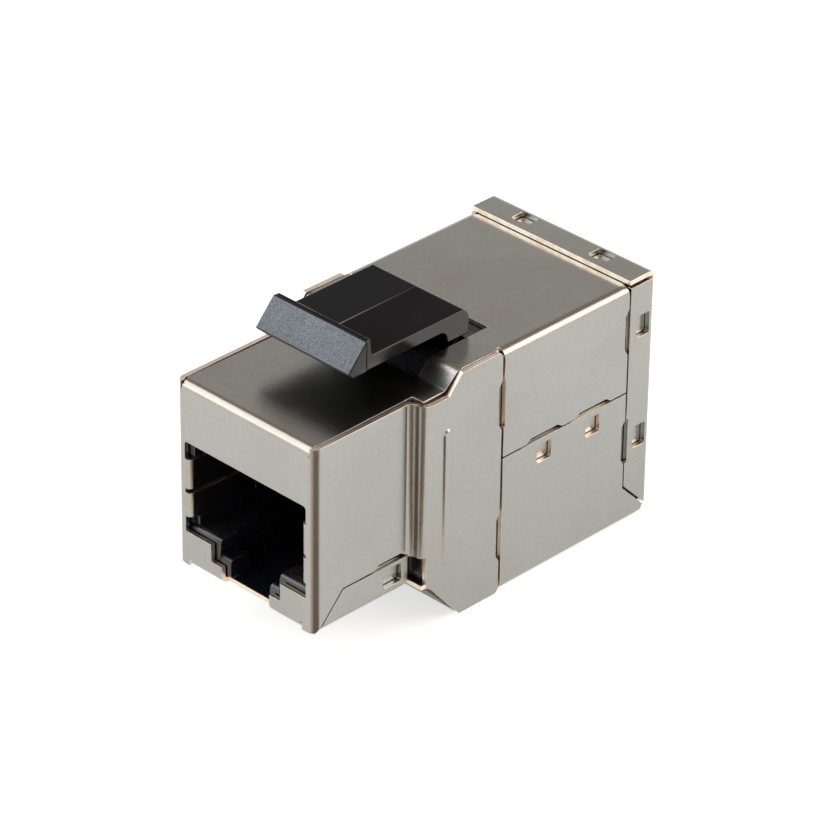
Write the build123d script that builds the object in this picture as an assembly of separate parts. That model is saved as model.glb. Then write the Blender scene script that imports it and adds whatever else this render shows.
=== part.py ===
from build123d import *
import os

# A shielded in-line ethernet coupler that snaps into a keystone opening.
# X runs across, Y from the front port to the rear port, Z up.
# All sizes are in millimetres. Z is 0 on the surface that the coupler rests on.
# While it is built, Y is 0 on the front face; the pieces are centred along Y at the end.

# Overall sizes
length = 35.2
body_width = 16.9
body_height = 21.1
neck_width = 14.6
neck_height = 15.9
ramp_rise = 1.35

# Sheet metal of the shield
sheet = 0.4
fold_radius = 0.75
step_radius = 0.55
lap_gap = 0.05
seam_gap = 0.12
relief_slit = 0.2

# Side walls and collar
step_y = 9.95
collar_end = 18.35
collar_seam = 0.22
collar_corner = 0.3
collar_notch_start = 12.75
collar_notch_rise_start = 11.0
ramp_foot = 12.86
ramp_run = 1.25
ramp_foot_radius = 0.25
ramp_head_radius = 1.2
ramp_room = 0.1
hook_run = 4.2
hook_front_edge = 11.06
hook_front_drop = 0.3
step_window_height = 2.75
rib_y = 12.58
rib_width = 1.05
rib_low = 5.05
rib_drop = 4.15
rib_height = 0.15
rib_slope = 45
rib_merge = 0.05
neck_side_lift = 0.1
neck_side_lead = 0.3

# Top plate of the neck and the slot of the latch
front_plate_inset = 0.08
neck_plate_inset = 0.2
fold_end_inset = 0.6
fold_end_gap = 0.06
collar_plate_inset = 0.25
collar_top_gap = 0.1
rear_plate_inset = 0.05
rear_plate_gap = 0.02
latch_slot_front = 12.6
latch_slot_room = 1.77
latch_slot_clearance = 0.25

# Small flanges under the neck
neck_flange_height = 2.83
neck_flange_front = 0.6
neck_flange_slant = 2.4
neck_flange_end = 9.7
neck_flange_toe = 0.25
neck_tail_gap = 0.1
neck_tail = 1.2

# Rear body: seams, strips, tongues and windows
flange_seam_height = 11.8
strip_length = 2.9
strip_gap = 0.15
strip_corner = 2.5
mitre_height = 3.4
strip_side_inset = 0.15
tongue_width = 3.95
tongue_rise = 0.35
tongue_taper = 0.55
tongue_reach = 2.4
nub_height = 0.12
nub_margin = 0.15
nub_toe = 0.02
window_width = 1.6
window_height = 1.55
window_drop = 0.5
window_corner = 0.2
side_window_pitch = 5.35
side_window_centre = 25.75
strip_window_width = 1.9
strip_window_depth = 1.4
strip_window_drop = 3.85
strip_window_lower = 7.45
top_window_offset = 4.05
top_window_width = 1.75
collar_tongue_width = 4.2
collar_tongue_drop = 4.55
collar_tongue_lower = 4.95
collar_tongue_reach = 1.6
neck_tongue_y = 7.85
neck_tongue_width = 3.3
neck_tongue_reach = 2.2
neck_window_rise = 0.15
neck_window_shift = 0.25

# Port opening in the shield and the socket behind it
opening_width = 12.84
opening_top = 10.85
opening_floor = 3.0
opening_step = 1.5
opening_corner = 0.25
opening_step_width = 7.4
opening_channel_width = 5.1
rear_channel_rise = 0.35
port_width = 11.8
port_floor = 3.4
port_height = 6.8
ledge_floor = 2.05
ledge_width = 6.3
channel_floor = 0.5
channel_width = 4.2
port_depth = 12.9
plastic_setback = 0.5
ledge_length = 2.4
inner_channel_width = 6.8
entry_round = 0.45
shield_gap = 0.4

# Spring fingers beside each port
finger_reach = 5.6
finger_bow = 0.75
finger_tip_y = 0.75
upper_finger_low = 6.75
upper_finger_high = 9.3
lower_finger_low = 4.3
lower_finger_high = 6.38
finger_room = 0.2
finger_fold = 0.5
finger_flare = 0.12
finger_merge = 0.1

# Black housings
housing_gap = 0.05
tongue_room = 0.05
board_gap = 0.05
hook_tail = 0.1
housing_floor = 1.7
housing_seam = 0.1
cradle_gap = 0.25
step_room = 0.1

# Circuit board
board_thickness = 1.6
board_side_gap = 0.05
board_bottom = 1.9
board_rise = 12.85
board_hole_radius = 0.375

# Contacts and their carriers
contact_count = 8
contact_pitch = 1.016
contact_width = 0.45
contact_thickness = 0.3
contact_bend = 0.5
lower_row = 10.7
upper_row = 11.9
root_length = 3.15
slope_start_run = 2.0
slope_start_height = 11.15
touch_y = 6.3
touch_height = 8.6
tip_y = 4.7
tip_height = 10.7
stub_length = 0.35
carrier_width = 11.5
carrier_front = 3.5
carrier_height = 2.75
carrier_slot_width = 0.65
carrier_slot_height = 2.3
carrier_front_wall = 0.5
carrier_rear_gap = 0.4
carrier_fit = 0.05

# Latch arm
arm_width = 9.6
arm_thickness = 1.25
heel_merge = 0.5
arm_rise = 2.4
arm_crown = 0.1
ridge_half = 0.1
ridge_height = 0.04
tab_width = 9.8
tab_front = 5.8
tab_top_y = 7.7
tab_lip = 0.45
tab_rear = 8.3
tab_rise = 1.3
tab_front_height = 0.45
tab_foot_run = 0.45
heel_front_reach = 1.2
heel_rear_reach = 1.13
heel_gap = 0.1
heel_round = 1.1
heel_foot_round = 0.25
heel_hollow = 0.75
pivot_y = 17.3
pivot_drop = 2.65
pivot_radius = 0.9
pivot_clearance = 0.05
pivot_length = 9.0
pivot_end_gap = 0.1
post_thickness = 0.9
post_room_front = 1.1
post_room_rear = 1.1
lip_height = 0.6
cradle_width = 13.8
cradle_rear_gap = 0.1
cradle_wall = 1.4

neck_top = body_height - ramp_rise
neck_bottom = neck_top - neck_height
rib_high = body_height - rib_drop
strip_window_upper = body_height - strip_window_drop
collar_tongue_upper = body_height - collar_tongue_drop
board_top = neck_bottom + board_rise
arm_top = body_height + arm_rise
tab_top = arm_top + tab_rise
heel_low = body_height + heel_gap
pivot_z = body_height - pivot_drop
middle_y = length / 2
heel_front = pivot_y - heel_front_reach
heel_rear = pivot_y + heel_rear_reach
latch_slot_rear = heel_rear + latch_slot_room
cradle_rear = latch_slot_rear + cradle_rear_gap
body_half = body_width / 2
neck_half = neck_width / 2
strip_front = length - strip_length
flange_front = collar_end + collar_seam
flange_rear = strip_front - strip_gap
lap = sheet + lap_gap
inner_half = body_half - lap - sheet - tongue_room
ramp_head = ramp_foot + ramp_run
hook_heel = step_y + hook_run
strip_top = body_height + lap_gap + sheet
board_front = middle_y - board_thickness / 2
board_rear = middle_y + board_thickness / 2
carrier_base = neck_bottom + port_floor + port_height + carrier_fit
window_near = (strip_length - strip_window_depth) / 2 + strip_gap
strip_window = (strip_window_width, window_near, window_near + strip_window_depth)
beyond = 50


def block(x0, x1, y0, y1, z0, z1):
    """Box between two corners."""
    centre = Pos((x0 + x1) / 2, (y0 + y1) / 2, (z0 + z1) / 2)
    return centre * Box(x1 - x0, y1 - y0, z1 - z0)


def side_prism(points, x0, x1):
    """Outline in Y and Z, drawn out along X from x0 to x1."""
    plane = Plane(origin=(x0, 0, 0), x_dir=(0, 1, 0), z_dir=(1, 0, 0))
    return extrude(plane * make_face(Polyline(*points, close=True)), amount=x1 - x0)


def plan_prism(points, z0, z1):
    """Outline in X and Y, drawn out along Z from z0 to z1."""
    plane = Plane(origin=(0, 0, z0), x_dir=(1, 0, 0), z_dir=(0, 0, 1))
    return extrude(plane * make_face(Polyline(*points, close=True)), amount=z1 - z0)


def cross_prism(points, y0, y1):
    """Outline in X and Z, drawn out along Y from y0 to y1."""
    plane = Plane(origin=(0, y1, 0), x_dir=(1, 0, 0), z_dir=(0, -1, 0))
    return extrude(plane * make_face(Polyline(*points, close=True)), amount=y1 - y0)


def window_cut(x0, x1, y0, y1, z0, z1, axis):
    """Cutter for a window with rounded corners, driven through along an axis."""
    return fillet(block(x0, x1, y0, y1, z0, z1).edges().filter_by(axis), window_corner)


def mirrored(points):
    """Right half of an outline, closed by its mirror image in X."""
    return points + [(-x, other) for x, other in reversed(points)]


def both_sides(shape):
    """A feature of the right side together with its twin on the left."""
    return shape + mirror(shape, about=Plane.YZ)


def sheet_tube(points, radii, plane, depth):
    """Closed folded band of sheet: outside corners rounded by radii, drawn out by depth."""
    outer = make_face(FilletPolyline(*points, radius=radii, close=True))
    inner = offset(outer, amount=-sheet)
    return extrude(plane * (outer - inner), amount=depth)


side_plane = Plane(origin=(-beyond, 0, 0), x_dir=(0, 1, 0), z_dir=(1, 0, 0))
cross_plane = Plane(origin=(0, beyond, 0), x_dir=(1, 0, 0), z_dir=(0, -1, 0))


def tongue(seat, width, reach, window=None, nub_offset=0):
    """A tongue that is set in by one sheet and passes behind the next sheet.

    The seat's X axis points out of the shield, its Y axis along the seam and
    its Z axis back into the sheet that carries the tongue. A window is the
    width, near edge and far edge of the opening that the tongue's nub fills.
    """
    half = width / 2
    bend = [(0, tongue_rise), (-lap, 0), (-lap, -reach)]
    back = [(x - sheet, z) for x, z in reversed(bend)]
    plane = Plane(origin=(0, half, 0), x_dir=(1, 0, 0), z_dir=(0, -1, 0))
    arm = extrude(plane * make_face(Polyline(*(bend + back), close=True)), amount=width)
    top = half - tongue_taper
    right = [(half, -beyond), (half, 0), (top, tongue_rise)]
    lens = mirrored(right)
    arm &= side_prism(lens, -beyond, beyond)
    if window:
        opening, near, far = window
        nub_half = opening / 2 - nub_margin
        wedge = [(-lap - lap_gap, -near - nub_margin), (nub_height - lap, -near - nub_margin),
                 (-lap, -far + nub_margin), (-lap - lap_gap, -far + nub_margin)]
        place = Plane(origin=(0, nub_offset + nub_half, 0), x_dir=(1, 0, 0), z_dir=(0, -1, 0))
        arm += extrude(place * make_face(Polyline(*wedge, close=True)), amount=2 * nub_half)
    room = side_prism([(y, max(z, -tongue_rise)) for y, z in lens], -lap, lap)
    return seat * arm, seat * room


def with_tongue(shape, seat, width, reach, window=None, nub_offset=0):
    """The sheet with a tongue on both of its sides."""
    arm, room = tongue(seat, width, reach, window, nub_offset)
    return shape - both_sides(room) + both_sides(arm)


def seat_down(x, y, z):
    """Seat of a tongue that points down from an edge on the right side."""
    return Plane(origin=(x, y, z), x_dir=(1, 0, 0), z_dir=(0, 0, 1))


def seat_back(x, y, z):
    """Seat of a tongue that points to the rear from an edge on the right side."""
    return Plane(origin=(x, y, z), x_dir=(1, 0, 0), z_dir=(0, -1, 0))


def opening_outline(low):
    """Right half of the port opening in the shield, down to the given height."""
    wide = opening_width / 2
    step = opening_step_width / 2
    channel = opening_channel_width / 2
    steps = [(wide, opening_top), (wide, opening_floor), (step, opening_floor), (step, opening_step),
             (channel, opening_step), (channel, low)]
    return [(x, neck_bottom + z) for x, z in steps]


def opening_cut(low, y0, y1):
    """Cutter for the port opening with its two small rounded upper corners."""
    cutter = cross_prism(mirrored(opening_outline(low)), y0, y1)
    corners = cutter.edges().filter_by(Axis.Y).group_by(Axis.Z)[-1]
    return fillet(corners, opening_corner)


def finger_rows(x0, x1, y0, y1):
    """Box at the heights of the upper and of the lower finger."""
    upper = block(x0, x1, y0, y1, neck_bottom + upper_finger_low, neck_bottom + upper_finger_high)
    lower = block(x0, x1, y0, y1, neck_bottom + lower_finger_low, neck_bottom + lower_finger_high)
    return upper + lower


def spring_fingers():
    """The two fingers on each side that fold back into the port and bow inwards."""
    edge = opening_width / 2
    root = edge + finger_merge
    inner = edge - finger_fold
    tip = edge - finger_bow
    end = finger_reach + finger_tip_y
    outside = [(root, 0), (inner, 0), (tip, finger_reach), (tip + finger_flare, end)]
    inside = [(tip + finger_flare + sheet, end), (tip + sheet, finger_reach), (inner + sheet, sheet),
              (root, sheet)]
    points = outside + inside
    radii = [0, finger_fold, 0, 0, 0, 0, finger_fold - sheet, 0]
    ribbon = make_face(FilletPolyline(*points, radius=radii, close=True))
    plane = Plane(origin=(0, 0, 0), x_dir=(1, 0, 0), z_dir=(0, 0, 1))
    strip = extrude(plane * ribbon, amount=beyond)
    return both_sides(strip & finger_rows(0, beyond, -1, beyond))


def turned(shape):
    """The same piece at the other end: turned half a turn about the upright middle line."""
    return Pos(0, length, 0) * shape.rotate(Axis.Z, 180)


def side_walls():
    """Front face, neck sides, outward steps and collars, folded from one band."""
    right = [(neck_half, 0), (neck_half, step_y), (body_half, step_y), (body_half, beyond)]
    bend = min(step_radius, 0.48 * (body_half - neck_half))
    radii = [fold_radius, bend, bend, 0, 0, bend, bend, fold_radius]
    band = sheet_tube(mirrored(right), radii, Plane.XY, body_height)
    low = neck_bottom
    seam = neck_flange_height + seam_gap
    slant = neck_flange_front + neck_flange_slant
    window_top = low + step_window_height
    notch = neck_top - sheet / 2
    outline = [
        (-1, low + neck_side_lift), (neck_side_lead, low + neck_side_lift),
        (slant - seam_gap / 2, low + seam),
        (step_y - step_radius / 2, low + seam), (step_y - step_radius / 2, window_top),
        (step_y + step_radius, window_top), (step_y + step_radius, low),
        (hook_front_edge, low - hook_front_drop), (hook_heel, 0), (collar_end - collar_corner, 0),
        (collar_end, collar_corner),
        (collar_end, body_height - collar_corner), (collar_end - collar_corner, body_height),
        (ramp_head, body_height), (collar_notch_start, notch), (collar_notch_rise_start, notch),
        (step_y, neck_top), (-1, neck_top),
    ]
    walls = band & side_prism(outline, -beyond, beyond)
    fold = neck_half - fold_end_inset + fold_end_gap
    top_relief = block(-fold, fold, -1, 1, neck_top - fold_radius, beyond)
    lower = opening_width / 2 - shield_gap
    bottom_relief = block(-lower, lower, -1, 1, -beyond, low + fold_radius)
    return walls - top_relief - bottom_relief


def rib():
    """Embossed upright rib with round ends on the collar."""
    straight = (rib_high - rib_low) - rib_width
    centre = (body_half - rib_merge, rib_y, (rib_low + rib_high) / 2)
    plane = Plane(origin=centre, x_dir=(0, 1, 0), z_dir=(1, 0, 0))
    outline = plane * Rot(0, 0, 90) * SlotCenterToCenter(straight, rib_width)
    return extrude(outline, amount=rib_height + rib_merge, taper=rib_slope)


def rib_hollow():
    """The hollow behind the embossed rib."""
    straight = (rib_high - rib_low) - rib_width
    centre = (body_half - 2 * sheet, rib_y, (rib_low + rib_high) / 2)
    plane = Plane(origin=centre, x_dir=(0, 1, 0), z_dir=(1, 0, 0))
    outline = plane * Rot(0, 0, 90) * SlotCenterToCenter(straight, rib_width - 2 * rib_height)
    return extrude(outline, amount=sheet + rib_height)


def lengthwise_band():
    """Band folded from the front face over the neck's top plate and under its bottom plate."""
    points = [(0, neck_bottom), (0, neck_top), (ramp_foot, neck_top), (ramp_head, body_height),
              (beyond, body_height), (beyond, neck_bottom)]
    radii = [fold_radius, fold_radius, ramp_foot_radius, ramp_head_radius, 0, 0]
    return sheet_tube(points, radii, side_plane, 2 * beyond)


def top_plate():
    """Top plate from the front fold, up the ramp and back under the rear strip."""
    fold = neck_half - fold_end_inset
    neck = neck_half - sheet - neck_plate_inset
    collar = body_half - sheet - collar_plate_inset
    near = body_half - sheet - collar_top_gap
    rear = body_half - fold_radius - rear_plate_inset
    hood_front = flange_front - relief_slit
    corner = neck_half - sheet - front_plate_inset
    step = step_y + sheet + collar_plate_inset
    right = [(fold, -1), (fold, fold_radius), (corner, fold_radius), (neck, step), (collar, step),
             (collar, ramp_foot), (near, ramp_head), (near, hood_front), (rear, hood_front),
             (rear, length - fold_radius - rear_plate_gap)]
    return lengthwise_band() & plan_prism(mirrored(right), neck_top - fold_radius, beyond)


def latch_slot():
    """Cutter for the slot of the latch, from the ramp back past the heel."""
    half = arm_width / 2 + latch_slot_clearance
    return block(-half, half, latch_slot_front, latch_slot_rear, neck_bottom, beyond)


def bottom_plate():
    """Bottom plate of the neck, which widens behind the step, and its small side flanges."""
    low = neck_bottom
    fold = opening_width / 2 - shield_gap - relief_slit
    inner = neck_half - fold_radius
    tail_front = step_y + neck_tail_gap
    wide = body_half - lap_gap
    right = [(fold, -1), (fold, fold_radius), (inner, fold_radius), (inner, tail_front),
             (wide, tail_front), (wide, step_y + neck_tail)]
    plate = lengthwise_band() & plan_prism(mirrored(right), low - 1, low + fold_radius)
    points = mirrored([(neck_half, low), (neck_half, beyond)])
    trough = sheet_tube(points, [fold_radius, 0, 0, fold_radius], cross_plane, 2 * beyond)
    slant = neck_flange_front + neck_flange_slant
    flange = side_prism([(neck_flange_front, low - 1), (neck_flange_front, low + neck_flange_toe),
                         (slant, low + neck_flange_height), (neck_flange_end, low + neck_flange_height),
                         (neck_flange_end, low - 1)], -beyond, beyond)
    return plate + (trough & flange)


def rear_roof():
    """Rear stretch of the top plate with the upper flanges folded down from it."""
    points = mirrored([(body_half, body_height), (body_half, -beyond)])
    hood = sheet_tube(points, [fold_radius, 0, 0, fold_radius], cross_plane, 2 * beyond)
    return hood & block(-beyond, beyond, flange_front, flange_rear, flange_seam_height + seam_gap, beyond)


def side_window_places():
    """Places along the rear body of the windows in the lower flange."""
    return [side_window_centre - side_window_pitch / 2, side_window_centre + side_window_pitch / 2]


def neck_window():
    """Window in the small flange under the neck, on both sides."""
    centre = neck_bottom + neck_flange_height - window_drop - window_height / 2 + neck_window_rise
    y = neck_tongue_y + neck_window_shift
    half = strip_window_width / 2
    cutter = window_cut(neck_half - 2 * sheet + lap_gap, beyond, y - half, y + half,
                        centre - window_height / 2, centre + window_height / 2, Axis.X)
    return both_sides(cutter)


def front_shell():
    """The front sheet: face, neck, collars, top plate and upper rear flanges."""
    shell = side_walls() + top_plate() + rear_roof() - latch_slot()
    shell += both_sides(rib())
    shell -= both_sides(rib_hollow())
    side_window = (window_width, window_drop, window_drop + window_height)
    for y in side_window_places():
        seat = seat_down(body_half, y, flange_seam_height + seam_gap)
        shell = with_tongue(shell, seat, tongue_width, tongue_reach + window_drop, side_window)
    seat = seat_back(body_half, flange_rear, strip_window_upper)
    shell = with_tongue(shell, seat, tongue_width, tongue_reach, strip_window)
    for z in (collar_tongue_upper, collar_tongue_lower):
        seat = seat_back(body_half, collar_end, z)
        shell = with_tongue(shell, seat, collar_tongue_width, collar_tongue_reach)
    seat = seat_down(neck_half, neck_tongue_y, neck_bottom + neck_flange_height + seam_gap)
    near = window_drop - neck_window_rise + seam_gap
    neck_nub = (strip_window_width, near, near + window_height)
    shell = with_tongue(shell, seat, neck_tongue_width, neck_tongue_reach, neck_nub, neck_window_shift)
    shell += bottom_plate() - neck_window()
    shell -= opening_cut(-1, -1, fold_radius)
    shell += spring_fingers()
    for side in (-1, 1):
        shell += top_nub(side)
    return shell


def top_nub(side):
    """Nub on the top plate that fills a window of the top strip."""
    half = top_window_width / 2 - nub_margin
    y0 = strip_front + strip_length / 2 - strip_window_depth / 2 + nub_margin
    y1 = strip_front + strip_length / 2 + strip_window_depth / 2 - nub_margin
    low = body_height - lap_gap
    wedge = [(y0, low), (y0, low + nub_height), (y1, body_height + nub_toe), (y1, low)]
    middle = side * top_window_offset
    return side_prism(wedge, middle - half, middle + half)


def rear_face():
    """Rear face with the strips that fold forward along its top and sides."""
    sides = mirrored([(body_half, -beyond), (body_half, length)])
    wrap = sheet_tube(sides, [0, fold_radius, fold_radius, 0], Plane.XY, body_height)
    outline = [(strip_front, mitre_height), (strip_front, body_height - strip_side_inset),
               (beyond, body_height - strip_side_inset), (beyond, mitre_height - strip_corner),
               (strip_front + strip_corner, mitre_height - strip_corner)]
    sides = wrap & side_prism(outline, -beyond, beyond)
    rise = [(length, 0), (length, strip_top), (-beyond, strip_top), (-beyond, 0)]
    cap = sheet_tube(rise, [fold_radius, fold_radius, 0, 0], side_plane, 2 * beyond)
    fold = body_half - fold_radius
    top_half = body_half - strip_side_inset
    face = cap & block(-fold, fold, strip_front, beyond, -1, beyond)
    top = cap & block(-top_half, top_half, strip_front, beyond, body_height, beyond)
    return sides + face + top


def rear_tray():
    """The rear sheet: bottom plate, lower flanges, rear face and strips."""
    points = mirrored([(body_half, 0), (body_half, beyond)])
    trough = sheet_tube(points, [fold_radius, 0, 0, fold_radius], cross_plane, 2 * beyond)
    mitre_foot = mitre_height - strip_corner - seam_gap
    rear = length - fold_radius
    outline = [(flange_front, -1), (flange_front, flange_seam_height), (flange_rear, flange_seam_height),
               (flange_rear, mitre_height - seam_gap), (flange_rear + strip_corner, mitre_foot),
               (rear, mitre_foot), (rear, -1)]
    tray = trough & side_prism(outline, -beyond, beyond)
    tray += rear_face()
    half = window_width / 2
    window_face = body_half - sheet - nub_toe
    top = flange_seam_height - window_drop
    for y in side_window_places():
        low = top - window_height
        tray -= both_sides(window_cut(window_face, beyond, y - half, y + half, low, top, Axis.X))
    y0 = strip_front + strip_length / 2 - strip_window_depth / 2
    y1 = y0 + strip_window_depth
    half = strip_window_width / 2
    for z in (strip_window_upper, strip_window_lower):
        tray -= both_sides(window_cut(window_face, beyond, y0, y1, z - half, z + half, Axis.X))
    seat = seat_back(body_half, flange_rear, strip_window_lower)
    tray = with_tongue(tray, seat, tongue_width, tongue_reach, strip_window)
    half = top_window_width / 2
    for x in (-top_window_offset, top_window_offset):
        tray -= window_cut(x - half, x + half, y0, y1, body_height, beyond, Axis.Z)
    tray -= turned(opening_cut(rear_channel_rise, -1, 2 * sheet))
    return tray + turned(spring_fingers())


def port_cavity():
    """Stepped hollow for the plug, its latch channel and the rooms beside it."""
    low = neck_bottom
    floor = low + port_floor
    half = port_width / 2
    cavity = block(-half, half, -1, port_depth, floor, floor + port_height)
    cavity += block(-half, half, -1, ledge_length, floor, low + opening_top)
    half = ledge_width / 2
    cavity += block(-half, half, -1, ledge_length, low + ledge_floor, floor + 1)
    half = channel_width / 2
    cavity += block(-half, half, -1, port_depth, low + channel_floor, floor + 1)
    half = inner_channel_width / 2
    cavity += block(-half, half, ledge_length, port_depth, low + channel_floor, floor + 1)
    room = finger_room
    half = neck_half - sheet
    reach = finger_reach + finger_tip_y + 2 * room
    cavity += block(-half, half, -1, reach, low + lower_finger_low - room, low + upper_finger_high + room)
    half = carrier_width / 2 + carrier_fit
    cavity += block(-half, half, carrier_front - carrier_fit, middle_y, floor + port_height,
                    carrier_base + carrier_height + carrier_fit)
    return cavity


def entry_rounding():
    """Cutter that rounds the front edges of the ledges at the mouth of the port."""
    deep = plastic_setback + entry_round
    cutter = None
    steps = [(channel_width / 2, ledge_width / 2, ledge_floor), (ledge_width / 2, neck_half, port_floor)]
    for x0, x1, z in steps:
        low = neck_bottom + z - entry_round
        corner = block(x0, x1, plastic_setback - 1, deep, low, low + entry_round + 1)
        roll = Pos((x0 + x1) / 2, deep, low) * Rot(0, 90, 0) * Cylinder(entry_round, x1 - x0)
        piece = both_sides(corner - roll - block(x0, x1, deep - entry_round, deep, low - 1, low))
        cutter = piece if cutter is None else cutter + piece
    return cutter


def front_housing():
    """Black moulding of the front port with the lower hook and the latch's cradle."""
    gap = sheet + housing_gap
    low = neck_bottom
    rear = board_front - board_gap
    under = housing_floor
    top = body_height - gap
    wide = body_half - gap
    neck = neck_half - gap
    step_face = step_y + gap + step_room
    neck_rear = step_face + 1
    roof = neck_top - gap
    body = block(-neck, neck, plastic_setback, neck_rear, low + gap, roof)
    edges = body.faces().sort_by(Axis.Y)[0].edges() + body.edges().filter_by(Axis.Y).group_by(Axis.Z)[0]
    body = fillet(edges, fold_radius - gap)
    hook_end = collar_end - hook_tail
    behind = gap / 2 + ramp_room
    outline = [(step_face, low - housing_gap), (step_face, roof), (ramp_foot + behind, roof),
               (ramp_head + behind, top), (rear, top), (rear, under), (hook_end, under),
               (hook_end, 0), (hook_heel, 0)]
    body += side_prism(outline, -wide, wide)
    tail = step_y + neck_tail + housing_gap
    body -= block(-beyond, beyond, 0, tail, low - housing_gap, low + gap)
    body -= port_cavity() + entry_rounding()
    tongue_top = low + neck_flange_height + seam_gap + tongue_rise
    half = neck_tongue_width / 2 + housing_gap
    inner = neck_half - lap - sheet - housing_gap
    body -= both_sides(block(inner, beyond, neck_tongue_y - half, neck_tongue_y + half, low, tongue_top))
    return body + latch_cradle() - latch_room()


def latch_cradle():
    """Block above the circuit board that carries the latch's pivot."""
    half = cradle_width / 2
    base = board_top + cradle_gap
    front = board_front - board_gap - cradle_wall
    return block(-half, half, front, cradle_rear, base, body_height - sheet - housing_gap)


def latch_room():
    """Socket of the latch's round root and the slot in which its post swings."""
    half = pivot_length / 2 + pivot_end_gap
    socket = Pos(0, pivot_y, pivot_z) * Rot(0, 90, 0) * Cylinder(pivot_radius + pivot_clearance, 2 * half)
    front = pivot_y - post_room_front
    rear = pivot_y + post_room_rear
    swing = block(-half, half, front, rear, pivot_z + lip_height, beyond)
    throat = pivot_radius / 2
    neck = block(-half, half, pivot_y - throat, pivot_y + throat, pivot_z, pivot_z + 1)
    return socket + swing + neck


def rear_housing():
    """Black moulding of the rear port, which fills the rear body behind the circuit board."""
    gap = sheet + housing_gap
    front = board_rear + board_gap
    rear = length - plastic_setback
    top = body_height - gap
    shoulder = board_top + board_gap
    step = cradle_rear + housing_seam
    outline = [(front, gap), (front, shoulder), (step, shoulder), (step, top), (rear, top),
               (rear, fold_radius), (length - fold_radius, gap)]
    body = side_prism(outline, -inner_half, inner_half)
    return body - turned(port_cavity() + entry_rounding())


def contact_carrier():
    """Slotted block above the port that spaces the eight contacts."""
    half = carrier_width / 2
    rear = board_front - carrier_rear_gap
    body = block(-half, half, carrier_front, rear, carrier_base, carrier_base + carrier_height)
    slot = carrier_slot_width / 2
    front = carrier_front + carrier_front_wall
    ceiling = carrier_base + carrier_slot_height
    for x in contact_places():
        body -= block(x - slot, x + slot, front, rear + 1, carrier_base - 1, ceiling)
    return body


def contact_places():
    """Places of the contacts across the port."""
    first = -(contact_count - 1) / 2 * contact_pitch
    return [first + number * contact_pitch for number in range(contact_count)]


def contact(number):
    """One stamped contact: rooted in the board, sloping down into the port and turned up at its tip."""
    row = lower_row if number % 2 == 0 else upper_row
    root_end = board_rear + stub_length
    bend_y = board_rear - root_length
    points = [(root_end, row), (bend_y, row), (bend_y - slope_start_run, slope_start_height),
              (touch_y, touch_height), (tip_y, tip_height)]
    path = FilletPolyline(*points, radius=contact_bend)
    ribbon = make_face(path.wire().offset_2d(contact_thickness / 2, side=Side.BOTH))
    x = contact_places()[number] - contact_width / 2
    plane = Plane(origin=(x, 0, neck_bottom), x_dir=(0, 1, 0), z_dir=(1, 0, 0))
    return extrude(plane * ribbon, amount=contact_width)


def circuit_board():
    """Upright board between the ports with two rows of eight holes."""
    half = inner_half - board_side_gap
    board = block(-half, half, board_front, board_rear, board_bottom, board_top)
    for x in contact_places():
        for row in (lower_row, upper_row):
            hole = Cylinder(board_hole_radius, 2 * board_thickness)
            board -= Pos(x, middle_y, neck_bottom + row) * Rot(90, 0, 0) * hole
    return board


def latch_arm():
    """Moulded latch: thumb tab, arm, heel, post and round root."""
    under = arm_top - arm_thickness
    half = arm_width / 2
    right = [(half, heel_low - 1), (half, arm_top - arm_crown), (ridge_half, arm_top - ridge_height)]
    crown = mirrored(right)
    crown.insert(len(right), (0, arm_top))
    outline = [(tab_top_y, under), (tab_top_y, arm_top), (heel_rear, arm_top), (heel_rear, heel_low),
               (heel_front, heel_low), (heel_front, under)]
    radii = [0, 0, heel_round, heel_foot_round, heel_foot_round, heel_hollow]
    plane = Plane(origin=(-half, 0, 0), x_dir=(0, 1, 0), z_dir=(1, 0, 0))
    arm = extrude(plane * make_face(FilletPolyline(*outline, radius=radii, close=True)), amount=arm_width)
    arm &= cross_prism(crown, 0, length)
    tab_half = tab_width / 2
    outline = [(tab_front, under + tab_front_height), (tab_top_y, tab_top), (tab_top_y, under),
               (tab_front + tab_foot_run, under)]
    tab = side_prism(outline, -tab_half, tab_half)
    lip_outline = [(tab_top_y, under), (tab_top_y, tab_top), (tab_top_y + tab_lip, tab_top),
                   (tab_rear, arm_top - arm_crown), (tab_rear, under)]
    tab += side_prism(lip_outline, -half, half)
    post_half = pivot_length / 2
    post = block(-post_half, post_half, pivot_y - post_thickness / 2, pivot_y + post_thickness / 2,
                 pivot_z, heel_low + heel_merge)
    root = Pos(0, pivot_y, pivot_z) * Rot(0, 90, 0) * Cylinder(pivot_radius, pivot_length)
    return arm + tab + post + root


def save(name, shape):
    """Centre a piece along Y and write it under its node name."""
    placed = Pos(0, -middle_y, 0) * shape
    placed.label = name
    export_step(placed, f"parts/{name}.step")


os.makedirs("parts", exist_ok=True)
save("front_shell", front_shell())
save("rear_tray", rear_tray())
save("front_housing", front_housing())
save("rear_housing", rear_housing())
save("latch_arm", latch_arm())
save("circuit_board", circuit_board())
carrier = contact_carrier()
save("front_contact_carrier", carrier)
save("rear_contact_carrier", turned(carrier))
for number in range(contact_count):
    piece = contact(number)
    save(f"front_contact_{number + 1}", piece)
    save(f"rear_contact_{number + 1}", turned(piece))
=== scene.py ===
"""Dresses an ethernet keystone coupler: plated shield, black mouldings, latch, board and contacts."""

import logging
import math
from collections.abc import Iterator
from contextlib import contextmanager
from dataclasses import dataclass, field
from enum import Enum, IntEnum
from functools import cache, cached_property
from typing import Protocol

import bmesh
import bpy
from mathutils import Matrix, Vector
from mathutils.bvhtree import BVHTree


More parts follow.
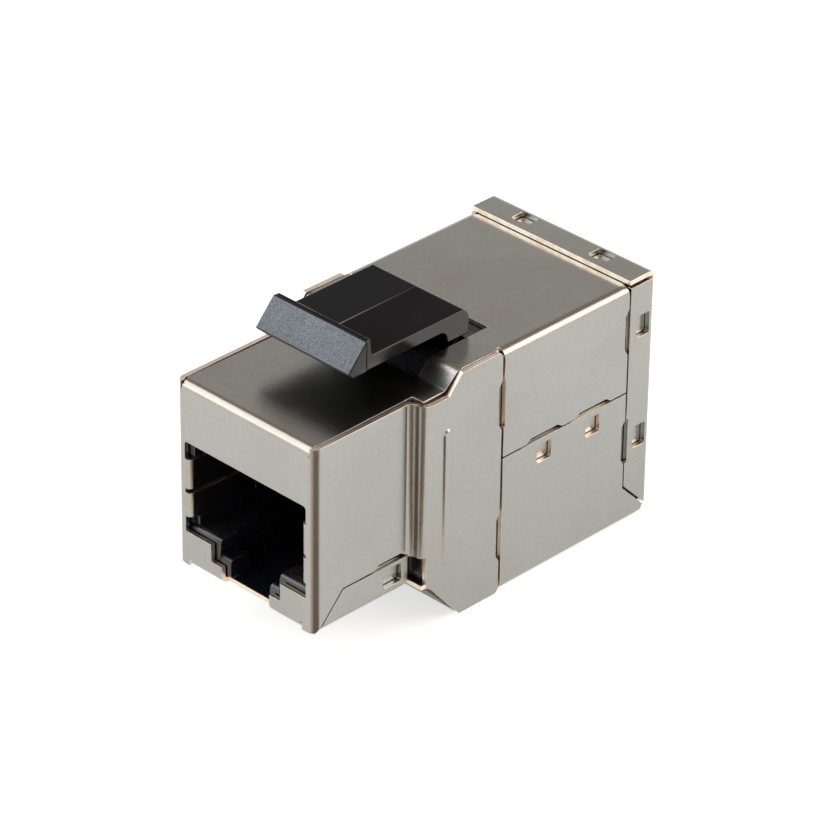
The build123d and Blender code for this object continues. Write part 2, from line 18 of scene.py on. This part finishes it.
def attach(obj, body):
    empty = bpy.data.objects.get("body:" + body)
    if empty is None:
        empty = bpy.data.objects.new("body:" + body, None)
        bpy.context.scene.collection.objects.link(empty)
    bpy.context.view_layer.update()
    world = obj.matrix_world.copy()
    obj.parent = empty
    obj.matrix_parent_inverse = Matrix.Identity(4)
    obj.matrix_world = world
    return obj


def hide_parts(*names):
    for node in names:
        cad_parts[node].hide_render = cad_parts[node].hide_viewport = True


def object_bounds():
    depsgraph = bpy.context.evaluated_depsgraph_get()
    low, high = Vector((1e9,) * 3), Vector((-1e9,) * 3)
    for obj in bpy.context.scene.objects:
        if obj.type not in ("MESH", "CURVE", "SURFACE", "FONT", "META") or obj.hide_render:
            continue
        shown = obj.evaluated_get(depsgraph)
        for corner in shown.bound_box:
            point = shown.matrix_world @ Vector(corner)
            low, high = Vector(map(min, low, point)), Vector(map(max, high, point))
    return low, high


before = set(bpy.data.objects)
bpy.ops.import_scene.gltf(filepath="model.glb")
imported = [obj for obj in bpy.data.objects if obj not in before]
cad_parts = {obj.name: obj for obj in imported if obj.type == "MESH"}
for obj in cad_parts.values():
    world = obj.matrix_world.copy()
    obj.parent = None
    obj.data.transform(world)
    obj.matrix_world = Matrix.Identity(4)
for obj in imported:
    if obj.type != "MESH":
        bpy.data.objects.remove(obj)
CAD_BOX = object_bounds()

MM = 0.001
Triple = tuple[float, float, float]
Span = tuple[float, float]
Socket = bpy.types.NodeSocket

WHITE: Triple = (1.0, 1.0, 1.0)
BLACK: Triple = (0.0, 0.0, 0.0)

log = logging.getLogger("coupler")


class Slot(Enum):
    """Material slots of the part's record."""

    SHIELD = "plated_shield"
    HOUSING = "black_housing"
    LATCH = "latch_plastic"
    BOARD = "board_laminate"
    CARRIER = "carrier_plastic"
    CONTACT = "gilt_contact"


class Body(Enum):
    """Bodies of the part that pieces ride on."""

    SHIELD = "shield"
    LATCH = "latch"
    FRONT_CONTACTS = "front_contacts"
    REAR_CONTACTS = "rear_contacts"


class SheetFinish(IntEnum):
    """Finishes of a folded sheet, in the order of its material slots."""

    FACE = 0
    CUT = 1
    FOLD = 2


class LatchFinish(IntEnum):
    """Finishes of the latch, in the order of its material slots."""

    POLISHED = 0
    GRAINED_WITH_PAINTED_SHEEN = 1
    SATIN = 2


@dataclass(frozen=True)
class Pattern:
    """A cloudy pattern: its clouds' size, its finer layers and the values over which it takes effect."""

    size: float
    layers: float = 3.0
    coarseness: float = 0.5
    span: Span = (0.3, 0.7)
    stretch: Triple = (1.0, 1.0, 1.0)


class Graph:
    """Short way to lay out the nodes of a material or of the world."""

    def __init__(self, tree: bpy.types.NodeTree) -> None:
        """Takes the node tree to work on."""
        self.tree = tree

    def put(self, target: Socket, value: Socket | float | Triple) -> None:
        """Links or sets one input.

        Args:
            target: The input.
            value: A socket to link, a number, or three numbers; a colour gets full alpha.
        """
        if isinstance(value, bpy.types.NodeSocket):
            self.tree.links.new(value, target)
        elif target.type == "RGBA":
            target.default_value = (*value, 1)
        else:
            target.default_value = value

    def add(self, kind: str, inputs: dict | None = None, **settings: object) -> bpy.types.Node:
        """Adds a node.

        Args:
            kind: Blender's name of the node type.
            inputs: Values or sockets for the node's inputs, by name or number.
            **settings: Properties of the node.

        Returns:
            The new node.
        """
        node = self.tree.nodes.new(kind)
        for key, value in settings.items():
            setattr(node, key, value)
        for key, value in (inputs or {}).items():
            self.put(node.inputs[key], value)
        return node

    def calc(self, operation: str, *values: Socket | float) -> Socket:
        """Works out one operation on numbers, such as their sum or product."""
        return self.add("ShaderNodeMath", dict(enumerate(values)), operation=operation).outputs[0]

    def ramp(self, value: Socket, span: Span, onto: Span = (0.0, 1.0)) -> Socket:
        """Maps a value smoothly from one span onto another, and keeps it inside that."""
        inputs = dict(enumerate((value, *span, *onto)))
        return self.add("ShaderNodeMapRange", inputs, interpolation_type="SMOOTHSTEP").outputs[0]

    def blend(self, amount: Socket, first: Socket | Triple, second: Socket | Triple) -> Socket:
        """Mixes two colours, from the first where the amount is 0 to the second where it is 1."""
        return self.add("ShaderNodeMix", {0: amount, 6: first, 7: second}, data_type="RGBA").outputs[2]


class MaterialGraph(Graph):
    """The nodes of one material, around its shader."""

    def __init__(self, name: str) -> None:
        """Starts a material.

        Args:
            name: Name of the material.
        """
        self.material = bpy.data.materials.new(name)
        self.material.use_nodes = True
        super().__init__(self.material.node_tree)
        self.shader = self.tree.nodes["Principled BSDF"]

    @cached_property
    def place(self) -> Socket:
        """Coordinates of the piece itself, for patterns that keep to it."""
        return self.add("ShaderNodeTexCoord").outputs["Object"]

    def noise(self, pattern: Pattern) -> Socket:
        """Lays out a cloudy pattern.

        Args:
            pattern: The pattern.

        Returns:
            Its values, from 0 to 1.
        """
        stretched = self.add("ShaderNodeMapping", {"Vector": self.place, "Scale": pattern.stretch}).outputs[0]
        inputs = {"Vector": stretched, "Scale": 1 / pattern.size, "Detail": pattern.layers,
                  "Roughness": pattern.coarseness}
        return self.add("ShaderNodeTexNoise", inputs).outputs[0]

    def fade(self, pattern: Pattern, onto: Span = (0.0, 1.0)) -> Socket:
        """Lays out a cloudy pattern whose own span is mapped onto another."""
        return self.ramp(self.noise(pattern), pattern.span, onto)

    def bump(self, height: Socket, depth: float, under: Socket | None = None) -> Socket:
        """Turns heights from 0 to 1 into a relief.

        Args:
            height: The heights.
            depth: Real depth of the relief, in metres.
            under: Normal of a relief that this one lies on.

        Returns:
            The bumped normal.
        """
        inputs = {"Height": height, "Distance": depth}
        if under:
            inputs["Normal"] = under
        return self.add("ShaderNodeBump", inputs).outputs[0]

    def dress(self, **values: Socket | float | Triple) -> None:
        """Links or sets the shader's own inputs, with underscores for the spaces of their names."""
        for name, value in values.items():
            self.put(self.shader.inputs[name.replace("_", " ")], value)


class Finish(Protocol):
    """What each finish can do."""

    def material(self) -> bpy.types.Material:
        """Makes the finish's material."""


@cache
def shared(finish: Finish) -> bpy.types.Material:
    """Makes a finish's material once, for all the pieces that have it."""
    return finish.material()


@dataclass(frozen=True)
class PlatedSheet:
    """Satin nickel plating over rolled copper alloy sheet."""

    name: str = "satin_nickel_plating"
    colour: Triple = (0.478, 0.483, 0.462)
    warm: Triple = (0.455, 0.452, 0.42)
    darkening: float = 0.86
    roughness: float = 0.215
    uneven: Span = (-0.015, 0.02)
    clouds: Pattern = Pattern(6 * MM, layers=4, coarseness=0.6, span=(0.35, 0.7))
    mottle: Pattern = Pattern(0.28 * MM, coarseness=0.7, span=(0.4, 0.7))
    mottle_share: float = 0.38
    streaks: Pattern = Pattern(0.12 * MM, coarseness=0.6, span=(0.3, 0.75), stretch=(1.0, 0.06, 1.0))
    streak_share: float = 0.2
    streak_depth: float = 0.0012 * MM
    rubbing: Pattern = Pattern(2.5 * MM, span=(0.25, 0.75))
    waves: Pattern = Pattern(7 * MM, layers=1, coarseness=0.4)
    wave_depth: float = 0.03 * MM
    grain: Pattern = Pattern(0.05 * MM, layers=2)
    grain_depth: float = 0.0024 * MM

    def material(self) -> bpy.types.Material:
        """Makes the plating: cloudy and mottled colour, rolling streaks, slow waves and fine grain.

        Returns:
            The material.
        """
        graph = MaterialGraph(self.name)
        dark = tuple(self.darkening * part for part in self.warm)
        clouded = graph.blend(graph.fade(self.clouds), self.colour, self.warm)
        mottled = graph.blend(graph.fade(self.mottle, (0.0, self.mottle_share)), clouded, dark)
        streaks = graph.noise(self.streaks)
        streaking = graph.ramp(streaks, self.streaks.span, (0.0, self.streak_share))
        gloss = tuple(self.roughness + change for change in self.uneven)
        wavy = graph.bump(graph.noise(self.waves), self.wave_depth)
        rolled = graph.bump(streaks, self.streak_depth, wavy)
        grained = graph.bump(graph.noise(self.grain), self.grain_depth, rolled)
        graph.dress(Base_Color=graph.blend(streaking, mottled, dark), Normal=grained, Metallic=1.0,
                    Roughness=graph.fade(self.rubbing, gloss))
        return graph.material


@dataclass(frozen=True)
class BurnishedFold(PlatedSheet):
    """The same plating rubbed warm along the folds, where the tool has burnished it."""

    name: str = "burnished_fold_plating"
    colour: Triple = (0.485, 0.458, 0.41)
    warm: Triple = (0.465, 0.425, 0.365)
    roughness: float = 0.24


@dataclass(frozen=True)
class CutCopper:
    """Bare copper alloy on the cut edges of the sheet."""

    bright: Triple = (1.0, 0.86, 0.72)
    dull: Triple = (0.93, 0.70, 0.52)
    roughness: Span = (0.28, 0.38)
    tears: Pattern = Pattern(0.5 * MM)
    dulling: Span = (0.45, 0.75)
    burr: Pattern = Pattern(0.2 * MM, layers=2)
    burr_depth: float = 0.003 * MM

    def material(self) -> bpy.types.Material:
        """Makes the cut edge: bright and smooth where it was sheared, dull and rough where it tore.

        Returns:
            The material.
        """
        graph = MaterialGraph("cut_copper_edge")
        tears = graph.noise(self.tears)
        graph.dress(Base_Color=graph.blend(graph.ramp(tears, self.dulling), self.bright, self.dull),
                    Roughness=graph.ramp(tears, self.tears.span, self.roughness),
                    Normal=graph.bump(graph.noise(self.burr), self.burr_depth), Metallic=1.0)
        return graph.material


@dataclass(frozen=True)
class MouldedPlastic:
    """Moulded plastic, with the grain of its mould."""

    name: str
    colour: Triple
    roughness: float
    grain: float
    grain_depth: float
    grain_coarseness: float = 0.6
    shine: float = 0.5
    uneven: float = 0.03
    patches: Pattern = Pattern(0.8 * MM, layers=4, coarseness=0.6)
    flow: Pattern = Pattern(3 * MM, layers=4, coarseness=0.6, span=(0.4, 0.75))
    flow_gain: float = 1.3
    flow_haze: float = 0.001
    swell: Pattern = Pattern(4 * MM, layers=1, coarseness=0.4)
    swell_depth: float = 0.01 * MM
    pits: Span = (0.47, 0.6)
    pit_share: float = 0.0
    pit_darkening: float = 0.25

    def material(self) -> bpy.types.Material:
        """Makes the plastic: slightly uneven colour and gloss, dark pits and the mould's texture.

        Returns:
            The material.
        """
        graph = MaterialGraph(self.name)
        pale = tuple(self.flow_gain * part + self.flow_haze for part in self.colour)
        dark = tuple(self.pit_darkening * part for part in self.colour)
        tone = graph.blend(graph.fade(self.flow), self.colour, pale)
        pits = Pattern(self.grain, coarseness=self.grain_coarseness, span=self.pits)
        texture = Pattern(self.grain, layers=2, coarseness=self.grain_coarseness)
        gloss = (self.roughness - self.uneven, self.roughness + self.uneven)
        swollen = graph.bump(graph.noise(self.swell), self.swell_depth)
        graph.dress(Base_Color=graph.blend(graph.fade(pits, (0.0, self.pit_share)), tone, dark),
                    Roughness=graph.fade(self.patches, gloss),
                    Normal=graph.bump(graph.noise(texture), self.grain_depth, swollen),
                    Specular_IOR_Level=self.shine)
        return graph.material


@dataclass(frozen=True)
class HousingPlastic(MouldedPlastic):
    """Glossy black of the two housings."""

    name: str = "black_housing_plastic"
    colour: Triple = (0.005, 0.006, 0.009)
    roughness: float = 0.26
    grain: float = 0.12 * MM
    grain_depth: float = 0.003 * MM
    shine: float = 1.0


@dataclass(frozen=True)
class CarrierPlastic(MouldedPlastic):
    """Matt black of the contact carriers."""

    name: str = "black_carrier_plastic"
    colour: Triple = (0.02, 0.02, 0.022)
    roughness: float = 0.45
    grain: float = 0.15 * MM
    grain_depth: float = 0.006 * MM


@dataclass(frozen=True)
class PolishedLatch(MouldedPlastic):
    """Polished black of the latch's deck and underside."""

    name: str = "polished_latch_plastic"
    colour: Triple = (0.0025, 0.0024, 0.0034)
    roughness: float = 0.14
    grain: float = 0.1 * MM
    grain_depth: float = 0.0004 * MM
    shine: float = 0.1
    uneven: float = 0.01
    swell_depth: float = 0.003 * MM


@dataclass(frozen=True)
class GrainedLatchWithPaintedSheen(MouldedPlastic):
    """Coarse grain of the latch's thumb face, with dark pits; its pale blue-grey colour, far lighter than the
    black of the rest of the latch, is painted sheen of the front lamp.
    """

    name: str = "grained_latch_plastic_with_painted_sheen"
    # painted sheen: the thumb face is the latch's black plastic, given the pale blue-grey look that the front
    # lamp lends it
    colour: Triple = (0.165, 0.19, 0.228)
    roughness: float = 0.42
    grain: float = 0.1 * MM
    grain_depth: float = 0.01 * MM
    shine: float = 0.6
    pit_share: float = 0.85


@dataclass(frozen=True)
class SatinLatch(MouldedPlastic):
    """Satin black of the latch's sides and rounded edges."""

    name: str = "satin_latch_plastic"
    colour: Triple = (0.003, 0.0033, 0.0036)
    roughness: float = 0.15
    grain: float = 0.1 * MM
    grain_depth: float = 0.002 * MM
    shine: float = 0.55


@dataclass(frozen=True)
class GoldPlate:
    """Thin gold plating over phosphor bronze."""

    gold: Triple = (0.95, 0.70, 0.30)
    pale: Triple = (0.84, 0.66, 0.40)
    roughness: Span = (0.16, 0.32)
    wear: Pattern = Pattern(0.9 * MM, layers=4, coarseness=0.6, span=(0.45, 0.7))
    drawing: Pattern = Pattern(0.06 * MM, coarseness=0.6, stretch=(1.0, 0.05, 0.3))
    drawing_depth: float = 0.002 * MM

    def material(self) -> bpy.types.Material:
        """Makes the plating: drawn lines along the wire and a paler, worn tone in patches.

        Returns:
            The material.
        """
        graph = MaterialGraph("gold_plated_bronze")
        lines = graph.noise(self.drawing)
        graph.dress(Base_Color=graph.blend(graph.fade(self.wear), self.gold, self.pale),
                    Roughness=graph.ramp(lines, self.drawing.span, self.roughness),
                    Normal=graph.bump(lines, self.drawing_depth), Metallic=1.0)
        return graph.material


@dataclass(frozen=True)
class BoardLaminate:
    """Circuit board with green solder mask over a glass weave."""

    mask: Triple = (0.012, 0.12, 0.045)
    shade: Triple = (0.008, 0.07, 0.03)
    roughness: Span = (0.25, 0.4)
    patches: Pattern = Pattern(0.6 * MM)
    weave: float = 0.6 * MM
    weave_span: Span = (-0.8, 0.8)
    weave_depth: float = 0.008 * MM

    def material(self) -> bpy.types.Material:
        """Makes the board: mask over a faint weave across the board's width and height.

        Returns:
            The material.
        """
        graph = MaterialGraph("green_solder_mask")
        split = graph.add("ShaderNodeSeparateXYZ", {0: graph.place}).outputs
        turns = 2 * math.pi / self.weave
        across, upright = (graph.calc("MULTIPLY", split[axis], turns) for axis in ("X", "Z"))
        cloth = graph.calc("MULTIPLY", graph.calc("SINE", across), graph.calc("SINE", upright))
        graph.dress(Base_Color=graph.blend(graph.ramp(cloth, self.weave_span), self.mask, self.shade),
                    Roughness=graph.fade(self.patches, self.roughness),
                    Normal=graph.bump(cloth, self.weave_depth))
        return graph.material


@dataclass(frozen=True)
class StudioPaper:
    """White paper of the floor: a plain white ground that keeps the object's shadow."""

    white: Triple = (0.8, 0.8, 0.8)
    roughness: float = 0.9
    shine: float = 0.1
    lift: float = 0.62
    mirrored_lift: float = 0.38

    def material(self) -> bpy.types.Material:
        """Makes the paper, lifted to white for the camera and in reflections.

        Returns:
            The material.
        """
        graph = MaterialGraph("studio_paper")
        rays = graph.add("ShaderNodeLightPath").outputs
        seen = graph.calc("MULTIPLY", rays["Is Camera Ray"], self.lift)
        mirrored = graph.calc("MULTIPLY", rays["Is Glossy Ray"], self.mirrored_lift)
        graph.dress(Base_Color=self.white, Roughness=self.roughness, Specular_IOR_Level=self.shine,
                    Emission_Color=WHITE, Emission_Strength=graph.calc("ADD", seen, mirrored))
        return graph.material


@contextmanager
def edited(mesh: bpy.types.Mesh) -> Iterator[bmesh.types.BMesh]:
    """Opens a mesh for editing, and writes the edited shape back to it.

    Args:
        mesh: The mesh.

    Yields:
        Its shape, ready to edit.
    """
    shape = bmesh.new()
    shape.from_mesh(mesh)
    yield shape
    shape.to_mesh(mesh)
    shape.free()


@dataclass
class DressedSolid:
    """A solid of the part whose mesh is faired, edge-rounded and given its finishes.

    Angles are in degrees. The first finish is that of every face that sort_faces gives no other.
    """

    node: str
    body: Body
    slot: Slot
    finishes: tuple[Finish, ...]
    rounding: float = 0.0
    rounding_segments: int = 2
    edge_finish: int = -1
    smooth_angle: float = 32.0
    rounding_angle: float = 38.0
    flat_angle: float = 0.6
    flat_weight: int = 100
    weld: float = 0.002 * MM
    sliver: float = 0.001 * MM
    mesh: bpy.types.Mesh = field(init=False)

    def build(self) -> None:
        """Makes the piece that stands for the solid, in the solid's place, and fastens it to its body."""
        self.take_form()
        self.fair()
        piece = bpy.data.objects.new(f"{self.node}_dressed", self.mesh)
        bpy.context.scene.collection.objects.link(piece)
        self.round_edges(piece)
        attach(piece, self.body.value)
        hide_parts(self.node)
        log.info("%s: %d faces", piece.name, len(self.mesh.polygons))

    def take_form(self) -> None:
        """Copies the solid's mesh, without its doubled points, and gives it the finishes' materials."""
        self.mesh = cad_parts[self.node].data.copy()
        self.mesh.name = f"{self.node}_form"
        self.mesh.materials.clear()
        for finish in self.finishes:
            self.mesh.materials.append(shared(finish))
        with edited(self.mesh) as shape:
            bmesh.ops.remove_doubles(shape, verts=shape.verts, dist=self.weld)
            bmesh.ops.dissolve_degenerate(shape, edges=shape.edges, dist=self.sliver)

    def sort_faces(self, shape: bmesh.types.BMesh) -> None:
        """Leaves the first finish on every face; a piece with more finishes sorts its faces here."""

    def fair(self) -> None:
        """Sorts the faces by finish and merges the flat stretches of each finish into whole faces."""
        with edited(self.mesh) as shape:
            self.sort_faces(shape)
            bmesh.ops.dissolve_limit(shape, angle_limit=math.radians(self.flat_angle), verts=shape.verts,
                                     edges=shape.edges, delimit={"MATERIAL"})
            for face in shape.faces:
                face.smooth = True
        self.mesh.set_sharp_from_angle(angle=math.radians(self.smooth_angle))

    def round_edges(self, piece: bpy.types.Object) -> None:
        """Rounds the edges and shades the flat faces flat.

        Args:
            piece: The piece that has the mesh.
        """
        if self.rounding:
            rounded = piece.modifiers.new("rounding", "BEVEL")
            rounded.width = self.rounding
            rounded.segments = self.rounding_segments
            rounded.limit_method = "ANGLE"
            rounded.angle_limit = math.radians(self.rounding_angle)
            rounded.material = self.edge_finish
            rounded.use_clamp_overlap = False
            rounded.harden_normals = False
        normals = piece.modifiers.new("normals", "WEIGHTED_NORMAL")
        normals.keep_sharp = True
        normals.weight = self.flat_weight


@dataclass
class FoldedSheet(DressedSolid):
    """A folded sheet of the shield, with plated faces, cut edges and burnished folds.

    cut_depth counts in thicknesses of the sheet, and square is the least part of a face's unit normal along
    an axis that makes the face square to it.
    """

    body: Body = Body.SHIELD
    slot: Slot = Slot.SHIELD
    finishes: tuple[Finish, ...] = (PlatedSheet(), CutCopper(), BurnishedFold())
    rounding: float = 0.025 * MM
    sheet: float = 0.4 * MM
    cut_depth: float = 2.2
    under_skin: float = 0.001 * MM
    fold_facet: float = 0.2 * MM
    square: float = 0.99

    def sort_faces(self, shape: bmesh.types.BMesh) -> None:
        """Gives the cut edges and the folds their own finishes.

        Args:
            shape: The shape of the whole sheet.
        """
        tree = BVHTree.FromBMesh(shape)
        for face in shape.faces:
            if self.is_cut(tree, face):
                face.material_index = SheetFinish.CUT
            elif self.is_fold(face):
                face.material_index = SheetFinish.FOLD

    def is_cut(self, tree: BVHTree, face: bmesh.types.BMFace) -> bool:
        """Says whether a face is cut, so that the metal behind it is deeper than the sheet is thick."""
        start = face.calc_center_median() - face.normal * self.under_skin
        return tree.ray_cast(start, -face.normal, self.cut_depth * self.sheet)[0] is None

    def is_fold(self, face: bmesh.types.BMFace) -> bool:
        """Says whether a face is one of the narrow facets of a fold, which lie square to no axis."""
        narrow = 2 * face.calc_area() / face.calc_perimeter() < self.fold_facet
        return narrow and max(abs(part) for part in face.normal) < self.square


@dataclass
class Shield:
    """The two folded sheets of the shield."""

    nodes: tuple[str, ...] = ("front_shell", "rear_tray")

    def build(self) -> None:
        """Makes both sheets."""
        for node in self.nodes:
            FoldedSheet(node).build()


@dataclass
class Mouldings:
    """The black housings and the contact carriers of both ports."""

    rounding: float = 0.06 * MM
    ends: tuple[str, ...] = ("front", "rear")

    def build(self) -> None:
        """Makes the two housings, then the two carriers."""
        kinds = (("housing", Slot.HOUSING, HousingPlastic()),
                 ("contact_carrier", Slot.CARRIER, CarrierPlastic()))
        for kind, slot, plastic in kinds:
            for end in self.ends:
                DressedSolid(f"{end}_{kind}", Body.SHIELD, slot, (plastic,), self.rounding).build()


@dataclass
class Latch(DressedSolid):
    """The sprung latch with its polished deck, satin sides and grained thumb tab, whose pale colour is
    painted sheen.

    sideways, forward and upward are the least parts of a face's unit normal that make it face that way.
    """

    node: str = "latch_arm"
    body: Body = Body.LATCH
    slot: Slot = Slot.LATCH
    finishes: tuple[Finish, ...] = (PolishedLatch(), GrainedLatchWithPaintedSheen(), SatinLatch())
    rounding: float = 0.1 * MM
    edge_finish: int = LatchFinish.SATIN
    smooth_angle: float = 25.0
    rounding_angle: float = 31.0
    tab_rear: float = -9.45 * MM
    sideways: float = 0.9
    forward: float = 0.3
    upward: float = 0.2

    def sort_faces(self, shape: bmesh.types.BMesh) -> None:
        """Gives the sides the satin and the tab's sloping thumb face the grain with its painted sheen.

        Args:
            shape: The shape of the whole latch.
        """
        for face in shape.faces:
            slopes = face.normal.y < -self.forward and face.normal.z > self.upward
            if abs(face.normal.x) > self.sideways:
                face.material_index = LatchFinish.SATIN
            elif slopes and face.calc_center_median().y < self.tab_rear:
                face.material_index = LatchFinish.GRAINED_WITH_PAINTED_SHEEN


@dataclass
class BoardAndContacts:
    """The circuit board and the two sets of contacts."""

    count: int = 8
    contact_rounding: float = 0.04 * MM

    def build(self) -> None:
        """Makes the board, then the contacts of each port."""
        DressedSolid("circuit_board", Body.SHIELD, Slot.BOARD, (BoardLaminate(),)).build()
        for end, body in (("front", Body.FRONT_CONTACTS), ("rear", Body.REAR_CONTACTS)):
            for number in range(1, self.count + 1):
                node = f"{end}_contact_{number}"
                DressedSolid(node, body, Slot.CONTACT, (GoldPlate(),), self.contact_rounding).build()


@dataclass
class Lamp:
    """A square soft lamp."""

    name: str
    place: Triple
    size: float
    watts: float
    tint: Triple

    def build(self, target: Vector) -> None:
        """Hangs the lamp.

        Args:
            target: The point that it faces.
        """
        light = bpy.data.lights.new(self.name, "AREA")
        light.shape = "SQUARE"
        light.size = self.size
        light.energy = self.watts
        light.color = self.tint
        lamp = bpy.data.objects.new(self.name, light)
        lamp.location = self.place
        lamp.rotation_euler = (target - Vector(self.place)).to_track_quat("-Z", "Y").to_euler()
        bpy.context.scene.collection.objects.link(lamp)


@dataclass
class Card:
    """A wedge of card on the floor before the front corner.

    It shows in reflections alone, where it makes the pale and dark lines along the folds. It opens from
    its tip towards the camera: left and right are its spread to each side, as a share of the reach.
    """

    name: str
    height: float
    left: float
    right: float
    colour: Triple
    near: float = 2 * MM
    far: float = 50 * MM
    tip_right: float = 6.6 * MM
    tip_behind_front: float = 0.7 * MM

    def build(self) -> None:
        """Lays the card."""
        low, _ = CAD_BOX
        ahead = Vector((1, -1, 0)).normalized()
        across = Vector((1, 1, 0)).normalized()
        tip = Vector((self.tip_right, low.y + self.tip_behind_front, self.height))
        corners = []
        for reach, slant in ((self.near, -self.left), (self.near, self.right),
                             (self.far, self.right), (self.far, -self.left)):
            corners.append(tip + ahead * reach + across * (reach * slant))
        mesh = bpy.data.meshes.new(self.name)
        mesh.from_pydata(corners, [], [(0, 3, 2, 1)])
        graph = MaterialGraph(self.name)
        graph.dress(Base_Color=BLACK, Roughness=1.0, Specular_IOR_Level=0.0, Emission_Color=self.colour,
                    Emission_Strength=1.0)
        mesh.materials.append(graph.material)
        card = bpy.data.objects.new(self.name, mesh)
        for kind in ("camera", "diffuse", "shadow", "transmission", "volume_scatter"):
            setattr(card, f"visible_{kind}", False)
        bpy.context.scene.collection.objects.link(card)


@dataclass
class Studio:
    """Pale floor, cards, soft lamps and surroundings."""

    floor_size: float = 3.0
    sky: Triple = (0.315, 0.28, 0.245)
    horizon: Triple = WHITE
    haze: Span = (0.2, 0.62)
    lamps: tuple[Lamp, ...] = (
        Lamp("overhead_softbox", place=(0.02, -0.05, 0.7), size=0.35, watts=0.5, tint=(1.0, 0.97, 0.92)),
        Lamp("front_softbox", place=(-0.44, -0.36, 0.46), size=0.6, watts=2.2, tint=(0.90, 0.95, 1.0)),
        Lamp("rear_softbox", place=(0.40, 0.42, 0.40), size=0.45, watts=1.6, tint=(1.0, 0.98, 0.94)),
    )
    cards: tuple[Card, ...] = (
        Card("pale_card", height=0.5 * MM, left=0.75, right=2.0, colour=(0.64, 0.585, 0.525)),
        Card("dark_card", height=0.7 * MM, left=0.2, right=1.35, colour=(0.22, 0.185, 0.155)),
    )

    def build(self) -> None:
        """Makes the floor, the lamps, the cards and the world."""
        self.lay_floor()
        low, high = CAD_BOX
        for lamp in self.lamps:
            lamp.build((low + high) / 2)
        for card in self.cards:
            card.build()
        self.surround()
        bpy.context.scene.view_settings.view_transform = "Standard"

    def lay_floor(self) -> None:
        """Makes the sheet of paper that the coupler stands on."""
        mesh = bpy.data.meshes.new("floor")
        half = self.floor_size / 2
        corners = [(-half, -half, 0), (half, -half, 0), (half, half, 0), (-half, half, 0)]
        mesh.from_pydata(corners, [], [(0, 1, 2, 3)])
        mesh.materials.append(shared(StudioPaper()))
        floor = bpy.data.objects.new("floor", mesh)
        bpy.context.scene.collection.objects.link(floor)

    def surround(self) -> None:
        """Sets the world: white for the camera, a soft gradient for light and reflections."""
        world = bpy.data.worlds.new("studio")
        world.use_nodes = True
        bpy.context.scene.world = world
        graph = Graph(world.node_tree)
        direction = graph.add("ShaderNodeTexCoord").outputs["Generated"]
        height = graph.add("ShaderNodeSeparateXYZ", {0: direction}).outputs["Z"]
        gradient = graph.blend(graph.ramp(height, self.haze), self.horizon, self.sky)
        camera_ray = graph.add("ShaderNodeLightPath").outputs["Is Camera Ray"]
        graph.put(graph.tree.nodes["Background"].inputs["Color"], graph.blend(camera_ray, gradient, WHITE))


@dataclass
class Camera:
    """The photograph's viewpoint, with its angles in degrees and its lens and sensor in millimetres."""

    place: Triple = (0.21279, -0.21742, 0.19546)
    yaw: float = -44.293
    pitch: float = -31.103
    roll: float = 0.827
    lens: float = 201.41
    sensor: float = 36.0

    def build(self) -> None:
        """Makes the camera and the scene's use of it."""
        yaw, pitch, roll = (math.radians(angle) for angle in (self.yaw, self.pitch, self.roll))
        ahead = Vector((math.sin(yaw) * math.cos(pitch), math.cos(yaw) * math.cos(pitch), math.sin(pitch)))
        level = ahead.cross(Vector((0, 0, 1))).normalized()
        upright = level.cross(ahead)
        right = level * math.cos(roll) + upright * math.sin(roll)
        up = upright * math.cos(roll) - level * math.sin(roll)
        data = bpy.data.cameras.new("camera")
        data.lens = self.lens
        data.sensor_width = self.sensor
        camera = bpy.data.objects.new("camera", data)
        turn = Matrix((right, up, -ahead)).transposed().to_4x4()
        camera.matrix_world = Matrix.Translation(self.place) @ turn
        bpy.context.scene.collection.objects.link(camera)
        bpy.context.scene.camera = camera


def main() -> None:
    """Builds the coupler's pieces in order, then the studio and the camera."""
    logging.basicConfig(level=logging.INFO, format="%(message)s")
    for group in (Shield(), Mouldings(), Latch(), BoardAndContacts(), Studio(), Camera()):
        group.build()


if __name__ == "__main__":
    main()
